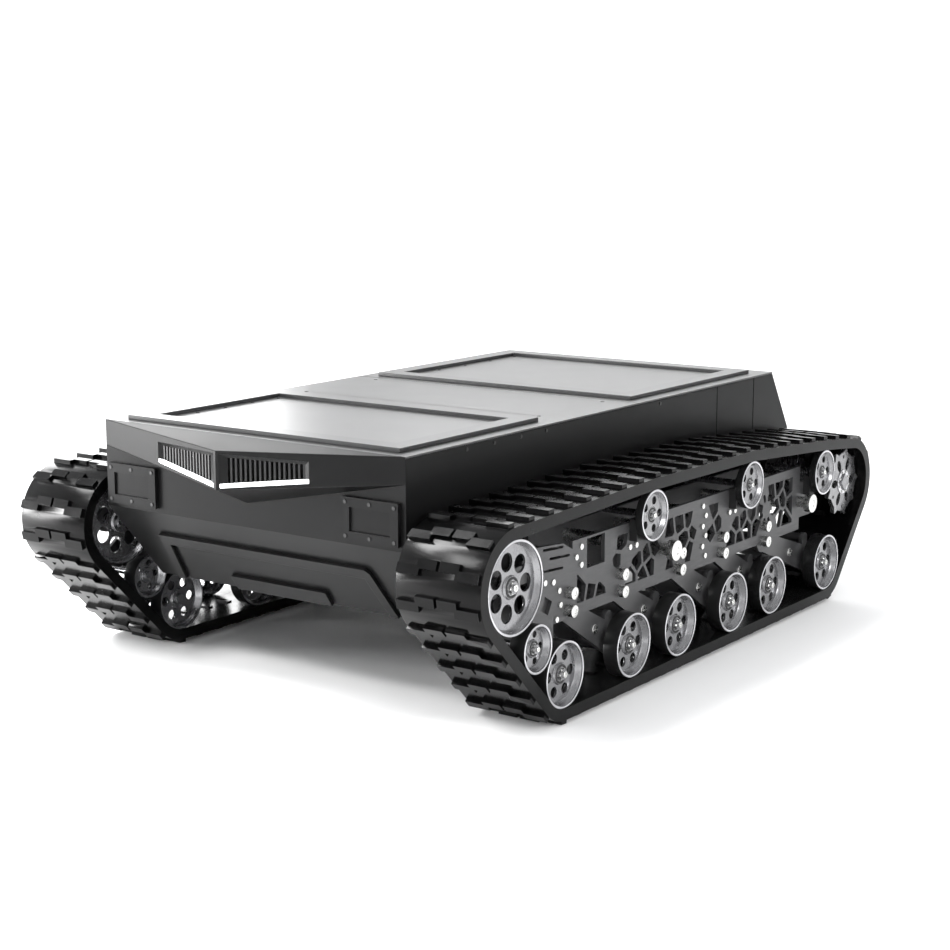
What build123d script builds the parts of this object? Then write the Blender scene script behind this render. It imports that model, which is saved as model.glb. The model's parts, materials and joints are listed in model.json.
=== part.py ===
from build123d import *
from math import cos, sin
import os

# Tracked robot chassis, millimetres. The nose points to -Y, +Z is up, and +X is the robot's
# own left side. The origin is on the ground under the middle of the machine.

os.makedirs("parts", exist_ok=True)

# ---- hull ----
HULL_HALF = 370.0            # half width of the hull box
DECK_Z = 504.0               # top of the deck plate
SHEET = 4.0                  # sheet thickness of hull, deck and nose
NOSE_Y = -728.0              # front plate, where the deck folds down
TAIL_TOP_Y = 675.0
TAIL_Y = 762.0               # rearmost edge of the sloping tail
TAIL_Z = 364.0
BELLY_Z = 180.0
TAIL_CUT = 27.0              # bevel between the belly and the tail
GLACIS_TOP_Z = 333.0
GLACIS_FOOT_Y = -622.0
CORNER_TILT = (0.92, -0.18, -0.35)   # which way the bevel at the nose's lower corner faces
WALL_SEAMS = ((406.0, 440.0), (581.0, 440.0))
WALL_SEAM = (3.0, 118.0)     # width and height of a seam in the side wall
SEAM_DEPTH = 1.2
BROW_Y = -812.5              # tip of the V-shaped brow
BROW_TOP_Z = 490.0
BROW_LOW_Z = 417.0
BROW_SIDE_Z = 454.0          # bottom of the brow at the hull corners
BROW_KEEL_Z = 379.0          # where the brow's keel meets the front plate

# ---- deck furniture ----
FRAME_H = 8.0                # height of the raised hatch frames
HATCH_X = 336.0              # half width of the frames outside
HATCH_BAR = 42.0             # width of a frame bar
HATCHES = ((-700.0, -260.0), (90.0, 622.0))  # front and rear edges of the two frames
HATCH_OPEN = 14.0            # how far the deck opening reaches under the frame
PANEL_T = 3.0
PAYLOAD_X = 600.0            # spacing of the payload holes across the deck
PAYLOAD_Y = 240.0
PAYLOAD_MID_Y = -85.0
PAYLOAD_R = 4.25
SEAM_Y = 62.0
PANEL_Z = DECK_Z - PANEL_T   # the panels lie in the deck openings, just under the frames

# ---- brow: grilles and light bars ----
BROW_RUN = NOSE_Y - BROW_Y
BROW_BLANK_H = 160.0         # more than the brow is high
GRILLE = ((8.0, 421.0), (190.0, 443.0), (190.0, 482.0), (8.0, 484.0))  # opening, x and z
GRILLE_CUT = 30.0            # the opening is cut from this far behind the facet to as far before it
SLATS = 18
SLAT_W = 4.0
SLAT_H = 90.0                # more than the opening is high
GRILLE_T = 7.0
GRILLE_BACK = 12.0
GRILLE_BORDER = 3.5
LIGHT_H = 8.0
LIGHT_T = 4.9

# ---- access covers on the front plate ----
COVER = (128.0, 80.0, 9.0)   # width, height and thickness
COVER_AT = (295.0, 381.0)
COVER_ROUND = 3.0
COVER_RIM = 18.0
COVER_RECESS = 4.0
COVER_SCREW_IN = 9.0         # from a cover's edge to its screws

# ---- guard frame and skid pad on the glacis ----
GUARD_T = 8.0
GUARD_TOP = 58.0             # distances down the slope from the fold
GUARD_BAR = 25.0
GUARD_HALF = (262.0, 278.0)  # half width at the top and at the foot, outside
GUARD_INNER_HALF = (243.0, 260.0)
GUARD_CORNER = 9.0           # chamfer at the left upper corner
GUARD_FOOT = 4.0             # how far the frame stops above the belly
PAD = (238.0, 36.0)
PAD_RISE = 22.0              # middle of the skid pad above the belly, along the slope

# ---- track ----
TRACK_MID = 476.0            # middle of the left track
TRACK_HALF = 90.0
CARCASS = 22.5
LUG_H = 8.0
LUG_COUNT = 57
GUIDE_H = 18.0               # guide teeth inside the belt, between the wheel discs
GUIDE = (34.0, 14.0)         # a guide tooth's size across and along the belt
LUG_SINK = 3.0               # how deep lugs are rooted in the belt
LUG_LEN = 18.0               # a lug's length along the belt
LUG_STEP = 12.0              # how far the outer lugs lead the inner ones
LUG_OUTER_W = 48.0
LUG_OUTER_X = 62.0
LUG_INNER_W = 41.0
LUG_INNER_X = 23.5
GAP = 0.5                    # air between a wheel and the belt
PLATE_OUT = 53.0             # outer face of the side plate from the track's middle
PLATE_T = 8.0
ARM_OUT = 44.5               # outer face of an arm's plate from the track's middle
ARM_T = 10.0
DISC_IN = 57.0               # a wheel disc runs from here to the rim face
RIM_FACE = 88.0
WEB = 5.0                    # thickness of a wheel's web
LIP = 3.0                    # height of the chamfer at a wheel's lip
RIM = 10.0                   # a rim's height inside the dish
RIM_LEAST = 4.0              # and at its inner end
HUB_STEP = 2.0
NUT_LEN = 6.0
NUT_SHARE = 0.55             # the axle nut's radius as a share of the hub's

# ---- wheels: (y, z) of the axles and radii ----
WHEEL_R = 62.5
WHEEL_Z = LUG_H + CARCASS + GAP + WHEEL_R
WHEEL_Y = (-512.0, -270.0, -89.0, 134.0, 315.0, 582.0)
ARM_REACH = (180.0, 180.0, 180.0, 180.0, 252.0)   # pivot to axle along Y, arms 2 to 6
PIVOT_Z = (195.0, 195.0, 195.0, 195.0, 184.0)
PIVOTS = tuple((y - reach, z) for y, reach, z in zip(WHEEL_Y[1:], ARM_REACH, PIVOT_Z))
STOP_RISE = 34.0             # a stop bolt stands straight above each pivot
STOP_BOLTS = tuple((y, z + STOP_RISE) for y, z in PIVOTS)
ANCHORS = ((-108.0, 248.0), (504.0, 242.0))
IDLER = (-672.0, 286.5)
IDLER_R = 85.0
NOSE_ROLLER = (-601.0, 161.0)
NOSE_ROLLER_R = 45.0
CARRIERS = ((-197.0, 334.0), (208.0, 330.0), (560.0, 304.0))
CARRIER_R = 50.0
SPROCKET = (702.0, 259.0)
SPROCKET_R = 79.5
SPROCKET_DISC = (58.0, 68.0)
SPROCKET_BODY_R = 68.0
TEETH = 9
TOOTH = (64.0, 13.0, 1.5)    # root radius, and half widths at root and tip
SPROCKET_WINDOWS = (44.0, 15.0, 9.0)     # their circle, and an ellipse's half axes
SPROCKET_HOLES = (58.0, 4.0)             # their circle and radius
SPROCKET_CAP = (20.0, 6.0)   # the square cap on the hub: radius and height
SPOOL_IN = 22.0              # length of the spool inside the gearbox
SPOOL_END = 72.0             # outer end of the spool from the track's middle
AXLE_R = 14.0
PIN_R = 8.0
SHAFT_R = 7.0
RUNNING = 0.05               # running clearance of a shaft in its bore
HEAD_R = 11.5
BOLT_AIR = 0.2               # clearance round a fixed bolt
TUBE_R = 13.0
SLEEVE_R = 11.0              # sleeve round a stop bolt
TUBES = ((-305.0, 300.0), (-120.0, 290.0), (57.0, 290.0), (240.0, 290.0), (480.0, 300.0), (540.0, 228.0))
GEARBOX_R = 50.0
MOTOR_R = 44.0
GEARBOX_AIR = 0.2            # gap round the gearbox in the side wall
BORE_DEPTH = 30.0            # how deep the drive shaft sits in the gearbox
GEARBOX_FACE = 392.0         # outer end of the gearbox
GEARBOX_LEN = 92.0
MOTOR_LEN = 190.0

# ---- arms ----
ARM_PIVOT_R = 20.0
ARM_AXLE_R = 30.0
TIE = (-23.0, 54.0)          # tube that ties an arm's two plates, from the axle
TIE_R = 10.0
TIE_LUG_R = 13.0             # plate left round the tube
PIVOT_TUBE_R = 16.0
AXLE_TUBE_R = 21.0

# ---- idler fork and its tensioner block ----
FORK_X = 43.0                # outer face of a fork bar from the track's middle
FORK_T = 10.0
FORK_BACK = -500.0
FORK_EYE_R = 26.0
FORK_BAR_H = 34.0
FORK_BRIDGE = 20.0
TENSION_R = 10.0             # the fork's screw
TENSION_LEN = 70.0
TENSION_BLOCK = (-455.0, 20.0, 40.0)     # its middle, length and height

# ---- side plates ----
PLATE_TOP = 322.0
PLATE_LOW = 179.0
PLATE_FRONT = -436.0         # front end of the straight part of the plate
PLATE_REAR = 506.0
PLATE_TIP = -564.0           # front edge of the chamfered nose of the plate
PLATE_GAP = 2 * (PLATE_OUT - PLATE_T)
EAR = (565.0, 206.0, 286.0)  # rear ear: end, low and high edge
PIVOT_BOSS_R = 25.0
NOSE_BOSS_R = 24.0
SLOT = (68.0, 5.0)           # cooling slots in the nose of the plate
SLOT_TILT = -4.0
BAY = (-355.0, 290.0, 63.0, 56.0)    # square bay: centre and size
NOSE_WINDOW = (-522.0, 218.0, 19.0)  # four-sided window: centre and radius
NOSE_WINDOW_TURN = 15.0
NOSE_RING_R = 45.0           # arc of screws round the nose window
NOSE_RING = (-45.0, 36.25, 5)            # first angle, step and count
RIB = 7.0                    # width of a rib in the lattice
CELL = 37.0                  # pitch of the lattice's cells along the plate
ROWS = (217.0, 250.0, 283.0) # heights of the rows of cells
SPREAD = 9.0                 # how far a cell's seed wanders from its place in the row
LATTICE = (-420.0, 470.0, 201.0, 303.0)  # ends, low and high edge of the lattice
CELL_CLEAR = 27.0            # cells nearer than this to a bolt or tube are left solid
PETALS = (346.0, 250.0, 28.0)            # a rosette: centre and radius
PETAL = (19.0, 10.0)
PETAL_COUNT = 8
BRACKET_EYE_R = 26.0         # bracket of the first wheel: its eye, and y, z, radius of its feet
BRACKET_FEET = ((-548.0, 214.0, 16.0), (-500.0, 216.0, 14.0))

# ---- roller blocks, bolts and frame mounts ----
BLOCK = (74.0, 44.0, 17.0)   # length, height and thickness
BLOCK_DROP = 26.0            # middle of a block below its roller's axle
BLOCK_BOSS_R = 16.0
HEAD_H = 14.0
ANCHOR_NECK = (12.0, 22.0)   # radius and length
ANCHOR_HEAD = (20.0, 14.0)
ANCHOR_HEAD_GAP = 19.0       # from the plate to the head
NUT = (12.0, 9.0)
MOUNT_Y = (-400.0, -160.0, 60.0, 440.0)
MOUNT_Z = 258.0
MOUNT = (70.0, 44.0)

# ---- battery and controller ----
BATTERY = (520.0, 420.0, 170.0)
BATTERY_Y = -120.0
BATTERY_ROUND = 12.0
TERMINAL = (30.0, 120.0, 14.0)
TERMINAL_X = 180.0
CONTROLLER = (360.0, 240.0, 80.0)
CONTROLLER_Y = 360.0
CONTROLLER_ROUND = 8.0
FIN = (5.0, 220.0, 22.0)
FIN_PITCH = 24.0
FINS = 13

# ---- small screws ----
PLATE_SCREW = (5.5, 3.0)     # radius and height of a screw on a side plate
HULL_SCREW = (3.5, 1.5)
WALL_ROW = (-546.0, 87.5, 492.0)         # first screw, pitch and height of the side wall's row
WALL_SCREWS = [(WALL_ROW[0] + WALL_ROW[1] * k, WALL_ROW[2]) for k in (0, 1, 2, 3, 8)]
HATCH_SCREWS = 5
HATCH_SCREW_IN = 12.0        # from a frame's inner edge to the screws of the panel
HATCH_SCREW_END = 15.0


def write(piece, label):
    piece.part.label = label
    export_step(piece.part, f"parts/{label}.step")


def write_pair(piece, label):
    """The left piece as built, and its mirror image on the right."""
    write(piece, f"left_{label}")
    with BuildPart() as twin:
        mirror(piece.part, about=Plane.YZ)
    write(twin, f"right_{label}")


# ================= hull =================
def hull_block(inset, lid):
    """Outer or inner form of the hull, drawn in by inset, up to the height lid."""
    side = [
        (NOSE_Y + inset, lid),
        (NOSE_Y + inset, GLACIS_TOP_Z + inset * 0.5),
        (GLACIS_FOOT_Y + inset * 0.5, BELLY_Z + inset),
        (TAIL_Y - TAIL_CUT, BELLY_Z + inset),
        (TAIL_Y - inset, BELLY_Z + TAIL_CUT),
        (TAIL_Y - inset, TAIL_Z),
        (TAIL_TOP_Y - inset, lid),
    ]
    with BuildPart() as block:
        with BuildSketch(Plane.YZ):
            Polygon(*side, align=None)
        extrude(amount=HULL_HALF - inset, both=True)
        for hand in (1, -1):
            corner = Plane(
                origin=(hand * (HULL_HALF - inset), NOSE_Y, GLACIS_TOP_Z),
                x_dir=(0, 1, 0),
                z_dir=(hand * CORNER_TILT[0], *CORNER_TILT[1:]),
            )
            split(bisect_by=corner, keep=Keep.BOTTOM)
    return block.part


with BuildPart() as hull_tub:
    add(hull_block(0.0, DECK_Z - SHEET))
    add(hull_block(SHEET, DECK_Z + 1.0), mode=Mode.SUBTRACT)
    for hand in (1, -1):
        with BuildSketch(Plane.YZ.offset(hand * (HULL_HALF + 1.0))):
            with Locations(SPROCKET):
                Circle(GEARBOX_R + GEARBOX_AIR)
        extrude(amount=-hand * (SHEET + 2.0), mode=Mode.SUBTRACT)
        with BuildSketch(Plane.YZ.offset(hand * (HULL_HALF - SEAM_DEPTH))):
            with Locations(*WALL_SEAMS):
                Rectangle(*WALL_SEAM)
        extrude(amount=hand * 2 * SEAM_DEPTH, mode=Mode.SUBTRACT)
write(hull_tub, "hull_tub")

with BuildPart() as deck_plate:
    with BuildSketch(Plane.XY.offset(DECK_Z - SHEET)):
        with Locations((0, (NOSE_Y + TAIL_TOP_Y) / 2)):
            Rectangle(2 * HULL_HALF, TAIL_TOP_Y - NOSE_Y)
        for front, rear in HATCHES:
            with Locations((0, (front + rear) / 2)):
                Rectangle(
                    2 * (HATCH_X - HATCH_OPEN),
                    rear - front - 2 * HATCH_OPEN,
                    mode=Mode.SUBTRACT,
                )
        with Locations((0, PAYLOAD_MID_Y)):
            with GridLocations(PAYLOAD_X, PAYLOAD_Y, 2, 2):
                Circle(PAYLOAD_R, mode=Mode.SUBTRACT)
    extrude(amount=SHEET)
    with BuildSketch(Plane.XY.offset(DECK_Z)):
        with Locations((0, SEAM_Y)):
            Rectangle(2 * HULL_HALF, 2.0)
    extrude(amount=-1.0, mode=Mode.SUBTRACT)
write(deck_plate, "deck_plate")

with BuildPart() as hatch_frames:
    for front, rear in HATCHES:
        with BuildSketch(Plane.XY.offset(DECK_Z)):
            with Locations((0, (front + rear) / 2)):
                Rectangle(2 * HATCH_X, rear - front)
                Rectangle(2 * (HATCH_X - HATCH_BAR), rear - front - 2 * HATCH_BAR, mode=Mode.SUBTRACT)
        extrude(amount=FRAME_H)
write(hatch_frames, "hatch_frames")

with BuildPart() as hatch_panels:
    for front, rear in HATCHES:
        with BuildSketch(Plane.XY.offset(PANEL_Z)):
            with Locations((0, (front + rear) / 2)):
                Rectangle(2 * (HATCH_X - HATCH_OPEN) - 1, rear - front - 2 * HATCH_OPEN - 1)
        extrude(amount=PANEL_T)
write(hatch_panels, "hatch_panels")

# ---- V-shaped brow: a folded cowl in front of the front plate ----
def brow_block(inset):
    with BuildPart() as brow:
        with BuildSketch(Plane.XY.offset(BROW_KEEL_Z - 20)):
            Polygon(
                (-HULL_HALF + inset, NOSE_Y),
                (HULL_HALF - inset, NOSE_Y),
                (0, BROW_Y + inset),
                align=None,
            )
        extrude(amount=BROW_BLANK_H)
        top = Plane(
            origin=(0, NOSE_Y, DECK_Z - inset),
            x_dir=(1, 0, 0),
            z_dir=(0, BROW_TOP_Z - DECK_Z, BROW_RUN),
        )
        split(bisect_by=top, keep=Keep.BOTTOM)
        for hand in (1, -1):
            keel = Vector(0, BROW_Y - NOSE_Y, BROW_LOW_Z - BROW_KEEL_Z)
            rise = Vector(hand * HULL_HALF, 0, BROW_SIDE_Z - BROW_KEEL_Z)
            under = Plane(
                origin=(0, NOSE_Y, BROW_KEEL_Z + inset),
                x_dir=keel,
                z_dir=keel.cross(rise) * hand,
            )
            split(bisect_by=under, keep=Keep.TOP if under.z_dir.Z > 0 else Keep.BOTTOM)
    return brow.part


BROW_FACE = {
    hand: Plane(
        origin=(0, BROW_Y, 0),
        x_dir=(hand * HULL_HALF, BROW_RUN, 0),
        z_dir=(hand * BROW_RUN, -HULL_HALF, 0) if hand == 1 else (-BROW_RUN, -HULL_HALF, 0),
    )
    for hand in (1, -1)
}


def on_brow(hand, points, depth):
    """Sketch plane and outline of a shape drawn on one brow facet, sunk by depth."""
    face = BROW_FACE[hand]
    plane = face.offset(-depth)
    up = 1 if face.y_dir.Z > 0 else -1
    return plane, [(x, up * z) for x, z in points]


with BuildPart() as nose_cowl:
    add(brow_block(0.0))
    add(brow_block(SHEET), mode=Mode.SUBTRACT)
    for hand in (1, -1):
        plane, outline = on_brow(hand, GRILLE, GRILLE_CUT)
        with BuildSketch(plane):
            Polygon(*outline, align=None)
        extrude(amount=2 * GRILLE_CUT, mode=Mode.SUBTRACT)
write(nose_cowl, "nose_cowl")

with BuildPart() as front_grilles:
    for hand in (1, -1):
        plane, outline = on_brow(hand, GRILLE, GRILLE_BACK)
        with BuildSketch(plane) as comb:
            Polygon(*outline, align=None)
            pitch = (GRILLE[1][0] - GRILLE[0][0] - SLAT_W) / SLATS
            mid_z = sum(p[1] for p in outline) / 4
            slots = [
                (GRILLE[0][0] + SLAT_W + pitch * (i + 0.5) - SLAT_W / 2, mid_z)
                for i in range(SLATS)
            ]
            with BuildSketch(mode=Mode.PRIVATE) as window:
                Polygon(*outline, align=None)
                offset(amount=-GRILLE_BORDER, kind=Kind.INTERSECTION)
            with BuildSketch(mode=Mode.PRIVATE) as bars:
                with Locations(*slots):
                    Rectangle(pitch - SLAT_W, SLAT_H)
            add(window.sketch & bars.sketch, mode=Mode.SUBTRACT)
        extrude(amount=GRILLE_T)
write(front_grilles, "front_grilles")

with BuildPart() as light_bars:
    for hand in (1, -1):
        low_in, low_out = GRILLE[0], GRILLE[1]
        strip = (low_in, low_out, (low_out[0], low_out[1] + LIGHT_H), (low_in[0], low_in[1] + LIGHT_H))
        plane, outline = on_brow(hand, strip, LIGHT_T)
        with BuildSketch(plane):
            Polygon(*outline, align=None)
        extrude(amount=LIGHT_T)
write(light_bars, "light_bars")

with BuildPart() as access_covers:
    for hand in (1, -1):
        with BuildSketch(Plane.XZ.offset(-NOSE_Y)):
            with Locations((hand * COVER_AT[0], COVER_AT[1])):
                RectangleRounded(COVER[0], COVER[1], COVER_ROUND)
        extrude(amount=COVER[2])
        with BuildSketch(Plane.XZ.offset(-NOSE_Y + COVER[2])):
            with Locations((hand * COVER_AT[0], COVER_AT[1])):
                Rectangle(COVER[0] - 2 * COVER_RIM, COVER[1] - 2 * COVER_RIM)
        extrude(amount=-COVER_RECESS, mode=Mode.SUBTRACT)
write(access_covers, "access_covers")

# ---- raised guard frame and skid pad on the sloping glacis ----
glacis_down = Vector(0, GLACIS_FOOT_Y - NOSE_Y, BELLY_Z - GLACIS_TOP_Z)
glacis_len = glacis_down.length
GLACIS = Plane(
    origin=(0, NOSE_Y, GLACIS_TOP_Z),
    x_dir=(1, 0, 0),
    z_dir=Vector(1, 0, 0).cross(glacis_down) * -1,
)
if GLACIS.z_dir.Y > 0:
    GLACIS = Plane(origin=GLACIS.origin, x_dir=(1, 0, 0), z_dir=GLACIS.z_dir * -1)
SLOPE_UP = 1 if GLACIS.y_dir.Z > 0 else -1
with BuildPart() as glacis_guard:
    with BuildSketch(GLACIS):
        top = -SLOPE_UP * GUARD_TOP
        low = -SLOPE_UP * (glacis_len - GUARD_FOOT)
        inner_top = -SLOPE_UP * (GUARD_TOP + GUARD_BAR)
        Polygon(
            (-GUARD_HALF[0], top),
            (GUARD_HALF[0] - GUARD_CORNER, top),
            (GUARD_HALF[0], top - SLOPE_UP * GUARD_CORNER),
            (GUARD_HALF[1], low),
            (-GUARD_HALF[1], low),
            align=None,
        )
        Polygon(
            (-GUARD_INNER_HALF[0], inner_top),
            (GUARD_INNER_HALF[0], inner_top),
            (GUARD_INNER_HALF[1], low * 1.1),
            (-GUARD_INNER_HALF[1], low * 1.1),
            align=None,
            mode=Mode.SUBTRACT,
        )
        with Locations((0, -SLOPE_UP * (glacis_len - PAD_RISE))):
            Rectangle(*PAD)
    extrude(amount=GUARD_T)
write(glacis_guard, "glacis_guard")

# ================= running gear =================
AXIS_X = Axis((0, 0, 0), (1, 0, 0))


def disc_wheel(radius, hub, disc_in, dish, hole_count, hole_r, hole_at, shaft, nut_face):
    """Twin-disc wheel on one shaft, axle along X through the origin, middle at x = 0."""
    web_face = RIM_FACE - dish
    half = [
        (nut_face + NUT_LEN, 0.0),
        (nut_face + NUT_LEN, hub * NUT_SHARE),
        (nut_face, hub * NUT_SHARE),
        (nut_face, hub),
        (web_face, hub + HUB_STEP),
        (web_face, radius - RIM),
        (RIM_FACE, radius - LIP),
        (RIM_FACE, radius),
        (disc_in, radius),
        (disc_in, radius - RIM_LEAST),
        (web_face - WEB, radius - RIM - HUB_STEP),
        (web_face - WEB, hub + HUB_STEP),
        (disc_in, hub),
        (disc_in, shaft),
    ]
    whole = half + [(-x, r) for x, r in reversed(half)]
    with BuildPart() as wheel:
        with BuildSketch(Plane.XZ):
            Polygon(*whole, align=None)
        revolve(axis=AXIS_X)
        with BuildSketch(Plane.YZ.offset(-RIM_FACE - 1)):
            with PolarLocations(hole_at, hole_count):
                Circle(hole_r)
        extrude(amount=2 * RIM_FACE + 2, mode=Mode.SUBTRACT)
    return wheel.part


road_form = disc_wheel(
    radius=WHEEL_R, hub=19.0, disc_in=DISC_IN, dish=13.0,
    hole_count=6, hole_r=10.0, hole_at=36.0, shaft=AXLE_R, nut_face=79.0,
)
idler_form = disc_wheel(
    radius=IDLER_R, hub=20.0, disc_in=DISC_IN, dish=12.0,
    hole_count=7, hole_r=17.0, hole_at=47.0, shaft=AXLE_R, nut_face=80.0,
)
nose_form = disc_wheel(
    radius=NOSE_ROLLER_R, hub=15.0, disc_in=DISC_IN, dish=13.0,
    hole_count=5, hole_r=6.5, hole_at=25.5, shaft=SHAFT_R, nut_face=79.0,
)
carrier_form = disc_wheel(
    radius=CARRIER_R, hub=15.0, disc_in=73.0, dish=8.0,
    hole_count=5, hole_r=8.0, hole_at=28.5, shaft=SHAFT_R, nut_face=81.0,
)

with BuildPart() as sprocket_form:
    for hand in (1, -1):
        with BuildSketch(Plane.YZ.offset(hand * SPROCKET_DISC[0])):
            Circle(SPROCKET_BODY_R)
            root, root_half, tip_half = TOOTH
            with PolarLocations(0, TEETH):
                Polygon(
                    (root, -root_half),
                    (SPROCKET_R, -tip_half),
                    (SPROCKET_R, tip_half),
                    (root, root_half),
                    align=None,
                )
            with PolarLocations(SPROCKET_WINDOWS[0], 6):
                Ellipse(*SPROCKET_WINDOWS[1:], mode=Mode.SUBTRACT)
            with PolarLocations(SPROCKET_HOLES[0], 6, start_angle=30.0):
                Circle(SPROCKET_HOLES[1], mode=Mode.SUBTRACT)
        extrude(amount=hand * (SPROCKET_DISC[1] - SPROCKET_DISC[0]))
    with BuildSketch(Plane.YZ.offset(GEARBOX_FACE - SPOOL_IN - TRACK_MID)):
        Circle(AXLE_R)
    extrude(amount=SPOOL_END - (GEARBOX_FACE - SPOOL_IN - TRACK_MID))
    with BuildSketch(Plane.YZ.offset(SPROCKET_DISC[1])):
        RegularPolygon(SPROCKET_CAP[0], 4)
    extrude(amount=SPROCKET_CAP[1])


def place_wheel(form, at, label):
    with BuildPart() as wheel:
        with Locations((TRACK_MID, *at)):
            add(form)
    write_pair(wheel, label)


for number, y in enumerate(WHEEL_Y, start=1):
    place_wheel(road_form, (y, WHEEL_Z), f"road_wheel_{number}")
place_wheel(idler_form, IDLER, "idler_wheel")
place_wheel(nose_form, NOSE_ROLLER, "nose_roller")
for number, at in enumerate(CARRIERS, start=1):
    place_wheel(carrier_form, at, f"carrier_roller_{number}")
place_wheel(sprocket_form.part, SPROCKET, "drive_sprocket")

# ---- suspension arms: two plates on a pivot tube and an axle tube ----
for number, pivot in enumerate(PIVOTS, start=2):
    axle = (WHEEL_Y[number - 1], WHEEL_Z)
    tie = (axle[0] + TIE[0], axle[1] + TIE[1])
    with BuildPart() as arm:
        for face in (ARM_OUT - ARM_T, -ARM_OUT):
            with BuildSketch(Plane.YZ.offset(TRACK_MID + face)):
                with Locations(pivot):
                    Circle(ARM_PIVOT_R)
                with Locations(axle):
                    Circle(ARM_AXLE_R)
                make_hull()
                with Locations(tie):
                    Circle(TIE_LUG_R)
                with Locations((tie[0], tie[1] - TIE_LUG_R)):
                    Rectangle(2 * TIE_LUG_R, 2 * TIE_LUG_R)
            extrude(amount=ARM_T)
        with BuildSketch(Plane.YZ.offset(TRACK_MID - ARM_OUT)):
            with Locations(pivot):
                Circle(PIVOT_TUBE_R)
            with Locations(axle):
                Circle(AXLE_TUBE_R)
            with Locations(tie):
                Circle(TIE_R)
        extrude(amount=2 * ARM_OUT)
        with BuildSketch(Plane.YZ.offset(TRACK_MID - ARM_OUT)):
            with Locations(pivot):
                Circle(PIN_R + RUNNING)
            with Locations(axle):
                Circle(AXLE_R + RUNNING)
        extrude(amount=2 * ARM_OUT, mode=Mode.SUBTRACT)
    write_pair(arm, f"arm_{number}")

# ---- idler fork, sliding between the side plates ----
with BuildPart() as idler_fork:
    for face in (FORK_X - FORK_T, -FORK_X):
        with BuildSketch(Plane.YZ.offset(TRACK_MID + face)):
            with Locations(IDLER):
                Circle(FORK_EYE_R)
            with Locations(((IDLER[0] + FORK_BACK) / 2, IDLER[1])):
                Rectangle(FORK_BACK - IDLER[0], FORK_BAR_H)
            with Locations(IDLER):
                Circle(AXLE_R + RUNNING, mode=Mode.SUBTRACT)
        extrude(amount=FORK_T)
    with BuildSketch(Plane.YZ.offset(TRACK_MID - FORK_X)):
        with Locations((FORK_BACK - FORK_BRIDGE / 2, IDLER[1])):
            Rectangle(FORK_BRIDGE, FORK_BAR_H)
    extrude(amount=2 * FORK_X)
    with BuildSketch(Plane.XZ.offset(-FORK_BACK)):
        with Locations((TRACK_MID, IDLER[1])):
            Circle(TENSION_R)
    extrude(amount=-TENSION_LEN)
write_pair(idler_fork, "idler_fork")

# ---- side plates ----
def staggered(y, top, step, drop, count):
    """Places in a column whose every other one is set off by step along the plate."""
    return [(y + step * (k % 2), top - drop * k) for k in range(count)]


def nose_ring():
    """Screws on an arc round the window in the nose of the plate."""
    first, step, count = NOSE_RING
    middle = Vector(*NOSE_WINDOW[:2])
    arc = [middle + Vector(NOSE_RING_R, 0).rotate(Axis.Z, first + step * k) for k in range(count)]
    return [(spot.X, spot.Y) for spot in arc]


SLOTS = staggered(-501.0, 320.0, 22.0, 19.5, 3)
COLUMN = staggered(56.0, 306.0, 12.0, 21.0, 6)
BAY_SCREWS = staggered(-408.0, 307.0, -17.0, 17.0, 3)
BLOCK_SCREWS = [(y + off, 274.0) for y, z in CARRIERS[:2] for off in (-36.0, -12.0)]
PLATE_SCREWS = (*COLUMN, *BAY_SCREWS, *nose_ring(), *BLOCK_SCREWS)
BAY_EDGES = [(BAY[0] + i * BAY[2] / 2, BAY[1] + k * BAY[3] / 2) for i in (-1, 0, 1) for k in (-1, 0, 1)]
PETAL_EDGES = [(PETALS[0], PETALS[1] + off) for off in (-24.0, 0.0, 24.0)]
KEEP_OUT = (*PIVOTS, *STOP_BOLTS, *ANCHORS, *TUBES, *PLATE_SCREWS, *BAY_EDGES, *PETAL_EDGES)


def cut_back(corners, at, away):
    """A convex polygon's part on the side of the point at that away points from."""
    kept = []
    for here, there in zip(corners, corners[1:] + corners[:1]):
        out_here = (here - at).dot(away)
        out_there = (there - at).dot(away)
        if out_here <= 0:
            kept.append(here)
        if out_here * out_there < 0:
            kept.append(here + (there - here) * (out_here / (out_here - out_there)))
    return kept


def lattice_cells(keep_out):
    """Windows of an irregular rib lattice: the regions nearest to seeds set out in rows."""
    front, rear, low, high = LATTICE
    seeds = []
    for row, z in enumerate(ROWS):
        for step in range(int((rear - front) / CELL)):
            count = row * 100 + step
            y = front + CELL * (step + 0.5 * (row % 2) + 0.3) + SPREAD * sin(2.4 * count)
            seeds.append(Vector(y, z + SPREAD * cos(1.7 * count)))
    windows = []
    for seed in seeds:
        if min((seed - Vector(*spot)).length for spot in keep_out) < CELL_CLEAR:
            continue
        corners = [Vector(front, low), Vector(rear, low), Vector(rear, high), Vector(front, high)]
        for other in seeds:
            if other is not seed and corners:
                away = (other - seed).normalized()
                corners = cut_back(corners, (seed + other) / 2 - away * (RIB / 2), away)
        if len(corners) > 2:
            windows.append([(corner.X, corner.Y) for corner in corners])
    return windows


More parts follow.
